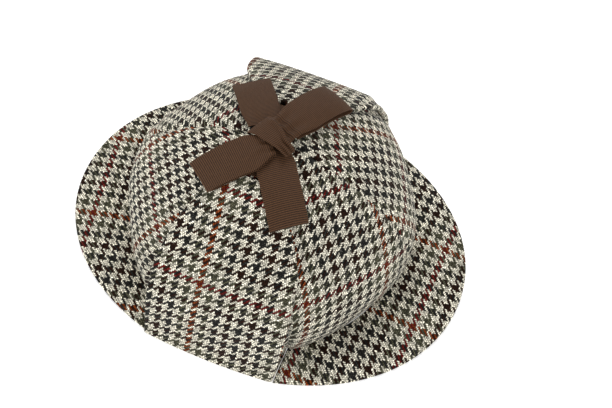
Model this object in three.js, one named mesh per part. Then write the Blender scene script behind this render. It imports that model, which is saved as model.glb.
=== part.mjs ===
// Deerstalker hat with its ear flaps tied up, standing on the folds of its flaps and the edges of its peaks.
// Millimetres. +X is the front, +Y the wearer's left and +Z up. Z = 0 is the surface it stands on.
import * as THREE from "three";

// Driving dimensions
const RIM_RADIUS = 94; // outside of the crown at the rim, for a head of 57 to 58 cm
const RIM_HEIGHT = 7; // lower edge of the crown
const CROWN_RISE = 111; // from the rim to the top
const CROWN_POWER = 2.05; // roundness of the crown's side view, 2 for an ellipse
const CROWN_SWELL = 0.1; // how far the crown swells over the rim, as a part of its radius
const SWELL_REACH = 0.83; // the swell ends at this part of the rise
const PANEL_COUNT = 6;
const PANEL_RIDGE = 0.018; // how far the seams stand out from a circle, as a part of the radius
const PANEL_TIP = 0.992; // where the panels' tips stop, short of the very top
const CROWN_CLOTH = 2.2; // one tweed with its backing
const DOUBLE_CLOTH = 3; // two tweeds turned and pressed
const RIBBON = 1; // thickness of the ribbon
const RIBBON_WIDTH = 25.4;
const GAP = 0.3; // between neighbouring pieces

const PEAK_HALF_LENGTH = 140.5; // middle of the hat to a peak's edge
const PEAK_HALF_WIDTH = 107.5; // where the peaks' outline would cross the sides
const PEAK_POWER = 2.05; // roundness of the outline, 2 for an ellipse
const PEAK_CLEARANCE = 1; // beside the flaps, whose slope leans a little outwards
const PEAK_DOME = 2; // how far a peak arches between the rim and its edge
// end is 1 in front and -1 behind. The soft hat lies a little askew: lean is how far a peak's edge lies
// to the wearer's left.
const PEAKS = [
  { name: "peak_front", end: 1, lean: -5 },
  { name: "peak_back", end: -1, lean: -3 },
];

const FLAP_FOLD = 104; // middle of the hat to where a flap's fold starts to turn up
const FOLD_RADIUS = 2; // of the cloth's middle
const FLAP_HALF_WIDTH = 46.5; // at the fold
const FOLD_BOW = 2.4; // how far the fold's middle stands out past its ends
const BOW_REACH = 30; // the bow has died out at this tilt, in degrees
const SHELF_SLOPE = 7; // a flap comes down to the surface in this far from the rim
const SHELF_FLAT = 1; // from each end of the flat to where it is truly level

// A flap's cross-sections, by the tilt of their plane above the horizontal. drift is how far they lie to one
// side of the middle, lift the clearance behind the middle of the flap, and hug how closely its sides follow
// the crown, from 0, straight across, to 1.
const FLAP_SECTIONS = [
  { tilt: 0, halfWidth: 46.5, drift: 0, lift: 11.9, hug: 0 },
  { tilt: 13, halfWidth: 48, drift: -1.5, lift: 3, hug: 0 },
  { tilt: 25, halfWidth: 48.5, drift: -3, lift: 1, hug: 0.05 },
  { tilt: 37, halfWidth: 47.5, drift: -3.5, lift: 0.7, hug: 0.25 },
  { tilt: 49, halfWidth: 44, drift: -3.5, lift: 0.5, hug: 0.7 },
  { tilt: 60, halfWidth: 36, drift: -2, lift: 0.5, hug: 1 },
  { tilt: 70, halfWidth: 24, drift: 0, lift: 0.5, hug: 1 },
  { tilt: 75, halfWidth: 13, drift: 0, lift: 0.5, hug: 1 },
];

const KNOT = { x: 5, y: 2 }; // the knot's centre, seen from above
const TIE_LIFT = 1.1; // height of each ribbon's middle over the crown, lowest first
const TAIL_LIFT = 4.4;
const LOOP_LIFT = 5.8;
const KNOT_LIFT = 11.5;
const PINCHED_WIDTH = 17; // of a ribbon inside the knot
const FULL_WIDTH_FROM = 20; // a ribbon is at its full width this far from the knot's centre
const TIE_END = 28; // from the middle of the hat to where a tie meets its flap

// The bow's arms, by their direction seen from above in degrees, and their reach from the knot's centre.
const TAILS = [
  { name: "bow_tail_front", direction: -61, reach: 55 },
  { name: "bow_tail_back", direction: 133, reach: 52 },
];
const LOOPS = [
  { name: "bow_loop_right", direction: 230, reach: 52, puff: 0.6 },
  { name: "bow_loop_left", direction: 72, reach: 54, puff: 0.9 },
];
// A loop's ribbon from the knot out along the crown and back over itself.
const LOOP_SECTIONS = [
  { reach: 0.13, rise: 0 },
  { reach: 0.3, rise: 0 },
  { reach: 0.5, rise: 0 },
  { reach: 0.7, rise: 0 },
  { reach: 0.9, rise: 0 },
  { reach: 0.975, rise: 0.9 },
  { reach: 1, rise: 3 },
  { reach: 0.965, rise: 5 },
  { reach: 0.87, rise: 6.2 },
  { reach: 0.7, rise: 6.6 },
  { reach: 0.5, rise: 5.2 },
  { reach: 0.3, rise: 2.8 },
  { reach: 0.13, rise: 2 },
];
const KNOT_DIRECTION = -34;
const KNOT_BAND = 20; // width of the band
const KNOT_SECTIONS = [
  { along: -16, drop: 5 },
  { along: -15, drop: 2.6 },
  { along: -12, drop: 1 },
  { along: -6, drop: 0.3 },
  { along: 0, drop: 0 },
  { along: 6, drop: 0.3 },
  { along: 12, drop: 1 },
  { along: 15, drop: 2.6 },
  { along: 16, drop: 5 },
];

// Worked out from the above
const RIM_INSIDE = RIM_RADIUS - CROWN_CLOTH; // where peaks and flaps are sewn under the crown
const RIM_SEAM = RIM_HEIGHT - 2 * GAP - DOUBLE_CLOTH / 2; // height of their middle there
const FOLD_TOP = DOUBLE_CLOTH / 2 + FOLD_RADIUS; // where a flap's fold ends and its rise begins
const LOOP_START = LOOP_SECTIONS[0].reach;
const TIE_START = 2.5;
const PANEL_PLACES = ["front_left", "left", "back_left", "back_right", "right", "front_right"];

const TWEED = { color: 0x8b8779, roughness: 0.95, metalness: 0, name: "tweed" };
const GROSGRAIN = { color: 0x54402f, roughness: 0.7, metalness: 0, name: "ribbon" };

const radians = THREE.MathUtils.degToRad;
const lerp = THREE.MathUtils.lerp;

// Evenly spaced numbers from first to last.
function steps(first, last, count) {
  return Array.from({ length: count + 1 }, (_, i) => lerp(first, last, i / count));
}

// The value of x between low and high where rising(x) changes from below to above zero.
function crossing(rising, low, high) {
  for (let i = 0; i < 40; i++) {
    const middle = (low + high) / 2;
    if (rising(middle) < 0) low = middle;
    else high = middle;
  }
  return (low + high) / 2;
}

// The crown's outer radius at a height, in a direction seen from above.
function crownRadius(height, angle) {
  const rise = THREE.MathUtils.clamp((height - RIM_HEIGHT) / CROWN_RISE, 0, 1);
  const dome = (1 - rise ** CROWN_POWER) ** (1 / CROWN_POWER);
  const swell = 1 + CROWN_SWELL * Math.sin(Math.PI * Math.min(rise / SWELL_REACH, 1));
  const ridge = 1 + PANEL_RIDGE * Math.cos(PANEL_COUNT * angle);
  return RIM_RADIUS * dome * swell * ridge;
}

// The point lift above the crown's top, over a place seen from above.
function overCrown(x, y, lift) {
  const height = (px, py) => {
    const reach = Math.hypot(px, py);
    const angle = Math.atan2(py, px);
    return crossing((z) => reach - crownRadius(z, angle), RIM_HEIGHT + CROWN_RISE / 2, RIM_HEIGHT + CROWN_RISE);
  };
  const near = 0.5;
  const slopeX = (height(x + near, y) - height(x - near, y)) / (2 * near);
  const slopeY = (height(x, y + near) - height(x, y - near)) / (2 * near);
  const normal = new THREE.Vector3(-slopeX, -slopeY, 1).normalize();
  return new THREE.Vector3(x, y, height(x, y)).addScaledVector(normal, lift);
}

// A smooth value of one column of a table, at a value of its key column.
function fromTable(table, key, column, at) {
  const last = table.length - 1;
  const row = (k) => table[THREE.MathUtils.clamp(k, 0, last)];
  const next = table.findIndex((entry) => entry[key] > at);
  const i = next < 0 ? last - 1 : Math.max(next - 1, 0);
  const span = row(i + 1)[key] - row(i)[key];
  const slope = (k) => (row(k + 1)[column] - row(k - 1)[column]) / (row(k + 1)[key] - row(k - 1)[key]);
  const t = THREE.MathUtils.clamp((at - row(i)[key]) / span, 0, 1);
  const eased = t * t * (3 - 2 * t);
  const leaving = span * slope(i) * t * (1 - t) ** 2;
  const arriving = span * slope(i + 1) * t * t * (1 - t);
  return lerp(row(i)[column], row(i + 1)[column], eased) + leaving - arriving;
}

// The direction of a line of points at its i-th, from the parabola through the nearest three.
function tangent(points, i) {
  const last = points.length - 1;
  const middle = THREE.MathUtils.clamp(i, 1, last - 1);
  const before = points[middle].clone().sub(points[middle - 1]);
  const after = points[middle + 1].clone().sub(points[middle]);
  const bend = after.clone().sub(before).multiplyScalar(i - middle);
  return before.add(after).multiplyScalar(0.5).add(bend).normalize();
}

// A closed sheet of cloth from rows of points, with its face in front of them and its back behind.
function cloth(rows, thickness, front = thickness / 2) {
  const height = rows.length;
  const width = rows[0].length;
  const positions = [];
  for (const offset of [front, front - thickness])
    for (let i = 0; i < height; i++)
      for (let j = 0; j < width; j++) {
        const along = tangent(rows.map((row) => row[j]), i);
        const normal = tangent(rows[i], j).cross(along).normalize();
        positions.push(...rows[i][j].clone().addScaledVector(normal, offset));
      }
  const layer = height * width;
  const index = [];
  const quad = (a, b, c, d) => index.push(a, b, c, a, c, d);
  for (let i = 0; i < height - 1; i++)
    for (let j = 0; j < width - 1; j++) {
      const a = i * width + j;
      quad(a, a + 1, a + width + 1, a + width);
      quad(layer + a, layer + a + width, layer + a + width + 1, layer + a + 1);
    }
  const wall = (a, b) => quad(b, a, layer + a, layer + b);
  for (let j = 0; j < width - 1; j++) {
    wall(j, j + 1);
    wall(layer - 1 - j, layer - 2 - j);
  }
  for (let i = 0; i < height - 1; i++) {
    wall((i + 1) * width, i * width);
    wall(i * width + width - 1, (i + 1) * width + width - 1);
  }
  const geometry = new THREE.BufferGeometry();
  geometry.setAttribute("position", new THREE.Float32BufferAttribute(positions, 3));
  geometry.setIndex(index);
  geometry.computeVertexNormals();
  return geometry;
}

// One crown panel between two seams, with its widest edge on the rim and its tip at the top.
function crownPanel(middle) {
  const rows = steps(0, PANEL_TIP, 14).map((part) => {
    const height = RIM_HEIGHT + CROWN_RISE * Math.sin((part * Math.PI) / 2);
    const halfAngle = Math.PI / PANEL_COUNT - GAP / 2 / crownRadius(height, middle + Math.PI / PANEL_COUNT);
    return steps(-halfAngle, halfAngle, 8).map((turn) => {
      const angle = middle + turn;
      const radius = crownRadius(height, angle);
      return new THREE.Vector3(radius * Math.cos(angle), radius * Math.sin(angle), height);
    });
  });
  return cloth(rows, CROWN_CLOTH, 0);
}

// The outer edge of the peaks, in a direction seen from above.
function peakReach(angle) {
  const ahead = Math.abs(Math.cos(angle) / PEAK_HALF_LENGTH) ** PEAK_POWER;
  const aside = Math.abs(Math.sin(angle) / PEAK_HALF_WIDTH) ** PEAK_POWER;
  return (ahead + aside) ** (-1 / PEAK_POWER);
}

// A crescent peak from the rim to its edge, between the two flaps.
function peak({ end, lean }) {
  const side = FLAP_HALF_WIDTH + PEAK_CLEARANCE;
  const rimAngle = crossing((a) => side - RIM_INSIDE * Math.cos(a), 0, Math.PI / 2);
  const edgeAngle = crossing((a) => side - peakReach(a) * Math.cos(a), 0, Math.PI / 2);
  const rows = steps(-1, 1, 32).map((turn) => {
    const rim = new THREE.Vector2(RIM_INSIDE, 0).rotateAround(new THREE.Vector2(), turn * rimAngle);
    const edge = new THREE.Vector2(peakReach(turn * edgeAngle), 0);
    edge.rotateAround(new THREE.Vector2(), turn * edgeAngle);
    edge.y += end * lean;
    return steps(0, 1, 6).map((out) => {
      const place = rim.clone().lerp(edge, out);
      const height = lerp(RIM_SEAM, DOUBLE_CLOTH / 2, out) + PEAK_DOME * Math.sin(Math.PI * out);
      return new THREE.Vector3(end * place.x, end * place.y, height);
    });
  });
  return cloth(rows.reverse(), DOUBLE_CLOTH);
}

// How far along a tilted direction the crown's surface lies, for a point x to the side of the flap's middle.
function crownAlong(tilt, x) {
  const outside = (reach) => {
    const out = reach * Math.cos(tilt);
    return Math.hypot(x, out) - crownRadius(FOLD_TOP + reach * Math.sin(tilt), Math.atan2(out, x));
  };
  return crossing(outside, 0, 1.5 * (RIM_RADIUS + CROWN_RISE));
}

// An ear flap: from the rim down to the surface, round its fold and up over the crown to its tip.
// side is 1 on the left and -1 on the right.
function earFlap(side) {
  const across = steps(-1, 1, 10);
  const shelf = [
    { fromRim: 0, height: RIM_SEAM },
    { fromRim: SHELF_SLOPE, height: DOUBLE_CLOTH / 2 },
    { fromRim: SHELF_SLOPE + SHELF_FLAT, height: DOUBLE_CLOTH / 2 },
  ].map((row) =>
    across.map((part) => {
      const x = part * FLAP_HALF_WIDTH;
      return new THREE.Vector3(x, Math.sqrt(RIM_INSIDE ** 2 - x * x) + row.fromRim, row.height);
    }),
  );
  const bow = (part) => FOLD_BOW * (1 - part * part);
  shelf.push(
    across.map((part) => {
      const out = FLAP_FOLD - SHELF_FLAT + bow(part);
      return new THREE.Vector3(part * FLAP_HALF_WIDTH, out, DOUBLE_CLOTH / 2);
    }),
  );
  const fold = steps(0, Math.PI / 2, 4).map((turn) =>
    across.map((part) => {
      const out = FLAP_FOLD + FOLD_RADIUS * Math.sin(turn) + bow(part);
      return new THREE.Vector3(part * FLAP_HALF_WIDTH, out, FOLD_TOP - FOLD_RADIUS * Math.cos(turn));
    }),
  );
  const last = FLAP_SECTIONS[FLAP_SECTIONS.length - 1].tilt;
  const upper = steps(0, last, 19)
    .slice(1)
    .map((tilt) => {
      const section = (column) => fromTable(FLAP_SECTIONS, "tilt", column, tilt);
      const slant = radians(tilt);
      const straight = crownAlong(slant, 0);
      const bowed = 1 - THREE.MathUtils.smoothstep(tilt, 0, BOW_REACH);
      return across.map((part) => {
        const x = section("drift") + part * section("halfWidth");
        const followed = lerp(straight, crownAlong(slant, x), section("hug"));
        const reach = followed + section("lift") + DOUBLE_CLOTH / 2 + bowed * bow(part);
        return new THREE.Vector3(x, reach * Math.cos(slant), FOLD_TOP + reach * Math.sin(slant));
      });
    });
  const rows = [...shelf, ...fold, ...upper];
  rows.forEach((row) => row.forEach((point) => point.multiply(new THREE.Vector3(side, side, 1))));
  return cloth(rows, DOUBLE_CLOTH);
}

// A ribbon over the crown from the knot's centre in a direction. Each section has its reach and its lift.
function ribbonArm(centre, direction, sections) {
  const ahead = new THREE.Vector2(1, 0).rotateAround(new THREE.Vector2(), radians(direction));
  const rows = sections.map(({ reach, lift, width }) =>
    steps(-0.5, 0.5, 4).map((part) => {
      const x = centre.x + reach * ahead.x + part * width * ahead.y;
      const y = centre.y + reach * ahead.y - part * width * ahead.x;
      return overCrown(x, y, lift);
    }),
  );
  return cloth(rows, RIBBON);
}

// A ribbon's width at a distance from the knot that pinches it.
function pinched(reach) {
  return lerp(PINCHED_WIDTH, RIBBON_WIDTH, THREE.MathUtils.smoothstep(reach, KNOT_BAND / 3, FULL_WIDTH_FROM));
}

function bowTail({ direction, reach }) {
  const sections = steps(LOOP_START, 1, 10).map((part) => ({
    reach: part * reach,
    lift: TAIL_LIFT,
    width: pinched(part * reach),
  }));
  return ribbonArm(KNOT, direction, sections);
}

function bowLoop({ direction, reach, puff }) {
  const sections = LOOP_SECTIONS.map((row) => ({
    reach: row.reach * reach,
    lift: LOOP_LIFT + Math.max(row.rise * puff, Math.min(row.rise, 1.9)),
    width: pinched(row.reach * reach),
  }));
  return ribbonArm(KNOT, direction, sections);
}

// The tie from a flap's tip to the knot. side is 1 on the left and -1 on the right.
function tie(side) {
  const sections = steps(TIE_START, TIE_END - GAP, 5).map((reach) => ({
    reach,
    lift: TIE_LIFT,
    width: RIBBON_WIDTH,
  }));
  return ribbonArm({ x: 0, y: 0 }, side * 90, sections);
}

// The band round the middle of the bow.
function bowKnot() {
  const sections = KNOT_SECTIONS.map(({ along, drop }) => ({
    reach: along,
    lift: KNOT_LIFT - drop,
    width: KNOT_BAND,
  }));
  return ribbonArm(KNOT, KNOT_DIRECTION, sections);
}

const hat = new THREE.Group();

function add(name, geometry, material) {
  const mesh = new THREE.Mesh(geometry, new THREE.MeshStandardMaterial(material));
  mesh.name = name;
  hat.add(mesh);
}

PANEL_PLACES.forEach((place, i) => add(`crown_panel_${place}`, crownPanel(radians(30 + 60 * i)), TWEED));
PEAKS.forEach((row) => add(row.name, peak(row), TWEED));
add("ear_flap_left", earFlap(1), TWEED);
add("ear_flap_right", earFlap(-1), TWEED);
add("tie_left", tie(1), GROSGRAIN);
add("tie_right", tie(-1), GROSGRAIN);
TAILS.forEach((tail) => add(tail.name, bowTail(tail), GROSGRAIN));
LOOPS.forEach((loop) => add(loop.name, bowLoop(loop), GROSGRAIN));
add("bow_knot", bowKnot(), GROSGRAIN);

export default hat;
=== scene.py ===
"""The finish of a deerstalker hat: woven tweed, ribbon and soft shape, made round its packed model.

Shapes are worked out in millimetres, as a maker would cut them, and become metres when a mesh is made.
+X is the front of the hat, +Y the wearer's left and +Z up.
"""

import bpy
import numpy as np
from mathutils import Matrix, Vector


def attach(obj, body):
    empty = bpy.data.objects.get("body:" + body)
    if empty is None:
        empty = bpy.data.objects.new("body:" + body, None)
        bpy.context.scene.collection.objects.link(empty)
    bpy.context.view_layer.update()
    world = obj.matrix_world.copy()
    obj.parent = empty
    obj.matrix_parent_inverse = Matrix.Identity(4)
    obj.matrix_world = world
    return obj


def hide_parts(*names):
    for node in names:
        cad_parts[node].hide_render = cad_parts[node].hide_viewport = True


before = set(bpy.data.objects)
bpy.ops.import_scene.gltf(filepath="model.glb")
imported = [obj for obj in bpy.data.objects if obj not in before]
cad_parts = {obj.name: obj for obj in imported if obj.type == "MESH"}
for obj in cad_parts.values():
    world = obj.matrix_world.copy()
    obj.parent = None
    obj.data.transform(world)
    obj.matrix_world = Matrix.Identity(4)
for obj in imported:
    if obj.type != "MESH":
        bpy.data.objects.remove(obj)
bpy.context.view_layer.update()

bl_info = {
    "name": "Deerstalker hat",
    "version": (1, 0, 0),
    "blender": (4, 5, 0),
    "location": "View3D > Sidebar > Hat",
    "description": "Builds a tweed deerstalker hat with its flaps tied up, and a plain studio round it",
    "category": "Add Mesh",
}

MM = 0.001


def table(columns, *rows):
    """A table as a list of rows, each with its values under the names of the columns."""
    return [dict(zip(columns.split(), row)) for row in rows]


# The hat's sizes
RIM_RADIUS = 94
RIM_HEIGHT = 7
CROWN_RISE = 111
CROWN_POWER = 2.05
CROWN_SWELL = 0.1
SWELL_REACH = 0.83
PANEL_COUNT = 6
PANEL_RIDGE = 0.018
CROWN_CLOTH = 2.2
DOUBLE_CLOTH = 3
GAP = 0.3
SEAM_OVERLAP = 0.5

PEAK_HALF_LENGTH = 140.5
PEAK_HALF_WIDTH = 107.5
PEAK_POWER = 2.05
PEAK_CLEARANCE = 1
PEAK_DOME = 2

FLAP_FOLD = 104
FOLD_RADIUS = 2
FLAP_HALF_WIDTH = 46.5
FOLD_BOW = 2.4
BOW_REACH = 30
SHELF_SLOPE = 7
SHELF_FLAT = 1
FLAP_SECTIONS = table(
    "tilt half_width drift lift hug",
    (0, 46.5, 0, 11.9, 0),
    (13, 48, -1.5, 3, 0),
    (25, 48.5, -3, 1, 0.05),
    (37, 47.5, -3.5, 0.7, 0.25),
    (49, 44, -3.5, 0.5, 0.7),
    (60, 36, -2, 0.5, 1),
    (70, 24, 0, 0.5, 1),
    (75, 13, 0, 0.5, 1),
)

RIBBON_CLOTH = 0.8
RIBBON_WIDTH = 25.4
TIE_LIFT = 1.1
TIE_START = 2.5
TIE_END = 28
TAIL_LIFT = 4.4
LOOP_LIFT = 5.8
KNOT_LIFT = 10.6
PINCHED_TO = 6
FULL_WIDTH_FROM = 22
BOW_START = 7
# Each arm of the bow runs straight over the crown from its own place beside the knot.
TAILS = table(
    "name x y direction reach pinch slant curl",
    ("bow_tail_front", -1, -2, -53, 53.5, 21, 1, 0.6),
    ("bow_tail_back", -3, 0, 125, 50, 21, 0, 0.9),
)
LOOPS = table(
    "name x y direction reach pinch slant puff back_to",
    ("bow_loop_right", 9, -3, 221, 51.5, 15, 4, 0.35, 7),
    ("bow_loop_left", 4, 0, 69, 52.5, 21, 0, 0.75, 0),
)
# A loop's ribbon from the knot out along the crown and back over itself.
LOOP_SECTIONS = table(
    "reach rise",
    (0.13, 0),
    (0.3, 0),
    (0.5, 0),
    (0.7, 0),
    (0.9, 0),
    (0.975, 0.9),
    (1, 3),
    (0.965, 5),
    (0.87, 5.8),
    (0.7, 5.8),
    (0.5, 5.2),
    (0.3, 4.4),
    (0.13, 3.8),
)
KNOT = {"x": 3.7, "y": -4.3, "direction": -27}
# The knot's ribbon, which narrows as it dives under the bow at its front end.
KNOT_SECTIONS = table(
    "along drop half_width drift",
    (-15, 4.6, 8.6, 0.2),
    (-14, 2.6, 8.8, 0),
    (-11, 1, 9, -0.5),
    (-6, 0.2, 8.7, -1.1),
    (0, 0, 7.3, -1.2),
    (5, 0.3, 5.9, -1),
    (9, 0.9, 5.6, -1.6),
    (11.5, 2.2, 5.3, -2.2),
    (12.3, 4.2, 5, -2.4),
)

# Where each piece is cut from the cloth: the rust line nearest its middle lies this far to its right, and
# the wine line this far up from its lower edge, or down from a panel's tip. No panel is cut quite true, so
# its long yarns lean by a share of their length, and its cross yarns sag by a share of theirs.
PANELS = table(
    "name rust wine lean sag",
    ("crown_panel_front_left", 3.4, 44, -0.22, -0.09),
    ("crown_panel_left", 8, 20, 0, 0),
    ("crown_panel_back_left", -12, 38, 0.1, 0.05),
    ("crown_panel_back_right", -24, 28, 0.1, 0),
    ("crown_panel_right", 20, 30, 0, 0),
    ("crown_panel_front_right", 50, 46.7, 0.2, -0.15),
)
# A peak's cloth is turned by an angle from the line of the hat.
PEAKS = table(
    "name end lean turn rust wine",
    ("peak_front", 1, -5, 0, -33.5, 118),
    ("peak_back", -1, -3, 10, -19, -123),
)
# A flap's droop is how far its front edge has bent down towards the crown.
FLAPS = table(
    "name side droop rust wine",
    ("ear_flap_left", 1, 1, 20, 50),
    ("ear_flap_right", -1, 0, 14, 69),
)

# Worked out from the above
RIM_INSIDE = RIM_RADIUS - CROWN_CLOTH
# The peaks and flaps are sewn hard up to the crown's edge.
RIM_SEAM = RIM_HEIGHT + SEAM_OVERLAP - DOUBLE_CLOTH / 2
FOLD_TOP = DOUBLE_CLOTH / 2 + FOLD_RADIUS

# The weave: dark and light yarns in fours, both ways, with a coloured line every eighth group
YARNS_IN_GROUP = 4
GROUPS_IN_CHECK = 8


def linear(code):
    """The linear colour of an sRGB hex value."""
    parts = [int(code[i : i + 2], 16) / 255 for i in (1, 3, 5)]
    return tuple(p / 12.92 if p <= 0.04045 else ((p + 0.055) / 1.055) ** 2.4 for p in parts)


def colour_setting(name, description, code):
    """A colour that a user can change, with its default as an sRGB hex value."""
    return bpy.props.FloatVectorProperty(
        name=name, description=description, subtype="COLOR", size=3, min=0, max=1, default=linear(code)
    )


def length_setting(name, description, millimetres):
    """A length that a user can change, with its default in millimetres."""
    return bpy.props.FloatProperty(
        name=name, description=description, subtype="DISTANCE", unit="LENGTH", min=0, default=millimetres * MM
    )


def amount_setting(name, description, amount):
    """A plain amount that a user can change."""
    return bpy.props.FloatProperty(name=name, description=description, min=0, default=amount)


class TweedSettings(bpy.types.PropertyGroup):
    """The woollen cloth of the crown, peaks and flaps."""

    yarn: length_setting("Yarn", "From one yarn to the next, both ways", 1)
    light: colour_setting("Light yarn", "Undyed wool, flecked with grey", "#efe9d5")
    brown: colour_setting("Brown yarn", "Darkest yarn of the checks", "#29140a")
    slate: colour_setting("Slate yarn", "Dark grey yarn beside the brown", "#272725")
    lichen: colour_setting("Lichen yarn", "Grey-green yarn beside the rust", "#525140")
    rust: colour_setting("Rust yarn", "Line that runs along the cloth", "#7c3a16")
    wine: colour_setting("Wine yarn", "Line that runs across the cloth", "#661b16")
    fibre_length: length_setting("Fibre length", "Loose wool ends that stand off the cloth", 2.2)
    fibre_width: length_setting("Fibre width", "Drawn about three times coarser than real wool", 0.09)
    fibre_density: amount_setting("Fibre density", "Loose ends on each square metre", 280000)


class RibbonSettings(bpy.types.PropertyGroup):
    """The ribbon of the ties and the bow."""

    colour: colour_setting("Ribbon", "Brown ribbed ribbon", "#442c19")
    rib: length_setting("Rib", "From one crosswise rib to the next", 1.1)
    rib_height: length_setting("Rib height", "From the furrow to the top of a rib", 0.2)


class StudioSettings(bpy.types.PropertyGroup):
    """The floor, the light and the camera."""

    floor: colour_setting("Floor", "Plain white paper", "#f4f4f4")
    key_power: amount_setting("Soft lights", "Power of the three large soft lights together", 36)
    fill_strength: amount_setting("Even light", "White light from all round", 0.45)
    table: amount_setting("Light table", "Light from under the paper", 0.4)
    lens: bpy.props.FloatProperty(
        name="Lens", description="Focal length on a 36 mm sensor", subtype="DISTANCE_CAMERA", default=89.7
    )


# ---------------------------------------------------------------------------------------------------------
# Shapes, in millimetres


def blend_between(a, b, part):
    """The value a part of the way from a to b."""
    return a + (b - a) * part


def smooth(x, low, high):
    """0 up to low, 1 from high, and a soft step between."""
    t = np.clip((x - low) / (high - low), 0, 1)
    return t * t * (3 - 2 * t)


def unit(vectors):
    """The vectors at length 1."""
    return vectors / np.maximum(np.linalg.norm(vectors, axis=-1, keepdims=True), 1e-9)


def crossing(rising, low, high):
    """The places between low and high where rising changes from below to above zero."""
    for _ in range(40):
        middle = (low + high) / 2
        below = rising(middle) < 0
        low = np.where(below, middle, low)
        high = np.where(below, high, middle)
    return (low + high) / 2


def from_table(rows, key, column, at):
    """A smooth value of one column of a table, at a value of its key column."""
    keys = [row[key] for row in rows]
    values = [row[column] for row in rows]
    last = len(rows) - 1
    i = int(np.clip(np.searchsorted(keys, at, side="right") - 1, 0, last - 1))
    slopes = []
    for k in (i, i + 1):
        before, after = max(k - 1, 0), min(k + 1, last)
        slopes.append((values[after] - values[before]) / (keys[after] - keys[before]))
    span = keys[i + 1] - keys[i]
    t = np.clip((at - keys[i]) / span, 0, 1)
    eased = blend_between(values[i], values[i + 1], t * t * (3 - 2 * t))
    return eased + span * slopes[0] * t * (1 - t) ** 2 - span * slopes[1] * t * t * (1 - t)


def crown_radius(height, angle):
    """The crown's outer radius at a height, in a direction seen from above."""
    rise = np.clip((height - RIM_HEIGHT) / CROWN_RISE, 0, 1)
    dome = (1 - rise**CROWN_POWER) ** (1 / CROWN_POWER)
    swell = 1 + CROWN_SWELL * np.sin(np.pi * np.minimum(rise / SWELL_REACH, 1))
    return RIM_RADIUS * dome * swell * (1 + PANEL_RIDGE * np.cos(PANEL_COUNT * angle))


def over_crown(x, y, lift):
    """The points lift above the crown's top, over places seen from above."""

    def height(px, py):
        reach = np.hypot(px, py)
        angle = np.arctan2(py, px)
        low = np.full(reach.shape, RIM_HEIGHT + CROWN_RISE / 2)
        return crossing(lambda z: reach - crown_radius(z, angle), low, low + CROWN_RISE / 2)

    near = 0.5
    slope_x = (height(x + near, y) - height(x - near, y)) / (2 * near)
    slope_y = (height(x, y + near) - height(x, y - near)) / (2 * near)
    normal = unit(np.stack([-slope_x, -slope_y, np.ones_like(x)], -1))
    return np.stack([x, y, height(x, y)], -1) + normal * np.asarray(lift)[..., None]


def unevenness(points, size, height, seed):
    """The gentle unevenness of soft cloth: a few crossing waves about size long and height high."""
    draw = np.random.default_rng(seed)
    total = np.zeros(points.shape[:-1])
    for _ in range(5):
        direction = unit(draw.normal(size=3)) / (size * draw.uniform(0.7, 1.5))
        total += np.sin(2 * np.pi * (points @ direction + draw.uniform()))
    return height * total / 2.5


def spaced(length, step, turn):
    """Parts from 0 to 1 of a length, about step apart, and closer where an edge turns over in turn."""
    edge = turn * (1 - np.cos(np.linspace(0, np.pi / 2, 5)))
    inner = np.linspace(turn, length - turn, max(round((length - 2 * turn) / step), 2) + 1)
    return np.concatenate([edge[:-1], inner, (length - edge[:-1])[::-1]]) / length


def along_path(points, step):
    """A smooth line through points, in equal steps."""
    points = np.asarray(points, float)
    ends = [2 * points[0] - points[1], *points, 2 * points[-1] - points[-2]]
    fine = []
    t = np.linspace(0, 1, 40, endpoint=False)[:, None]
    for a, b, c, d in zip(ends, ends[1:], ends[2:], ends[3:]):
        bend = t**2 * (2 * a - 5 * b + 4 * c - d) / 2 + t**3 * (3 * b - a - 3 * c + d) / 2
        fine.append(b + t * (c - a) / 2 + bend)
    line = np.concatenate([*fine, points[-1:]])
    walked = np.concatenate([[0], np.cumsum(np.linalg.norm(np.diff(line, axis=0), axis=1))])
    stops = np.linspace(0, walked[-1], round(walked[-1] / step) + 1)
    return np.stack([np.interp(stops, walked, column) for column in line.T], -1)


def walked_length(grid, axis):
    """How far each point of a grid lies along its line from the first, and how long that line is."""
    gaps = np.linalg.norm(np.diff(grid, axis=axis), axis=-1)
    start = np.zeros_like(np.take(gaps, [0], axis=axis))
    walked = np.cumsum(np.concatenate([start, gaps], axis=axis), axis=axis)
    return walked, np.take(walked, [-1], axis=axis)


def edge_distance(grid):
    """How far each point of a grid lies from the cloth's nearest edge."""
    distances = []
    for axis in (0, 1):
        walked, whole = walked_length(grid, axis)
        distances.append(np.minimum(walked, whole - walked))
    return np.minimum(*distances)


def face_normals(grid):
    """The direction that a grid of points faces."""
    return unit(np.cross(np.gradient(grid, axis=1), np.gradient(grid, axis=0)))


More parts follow.
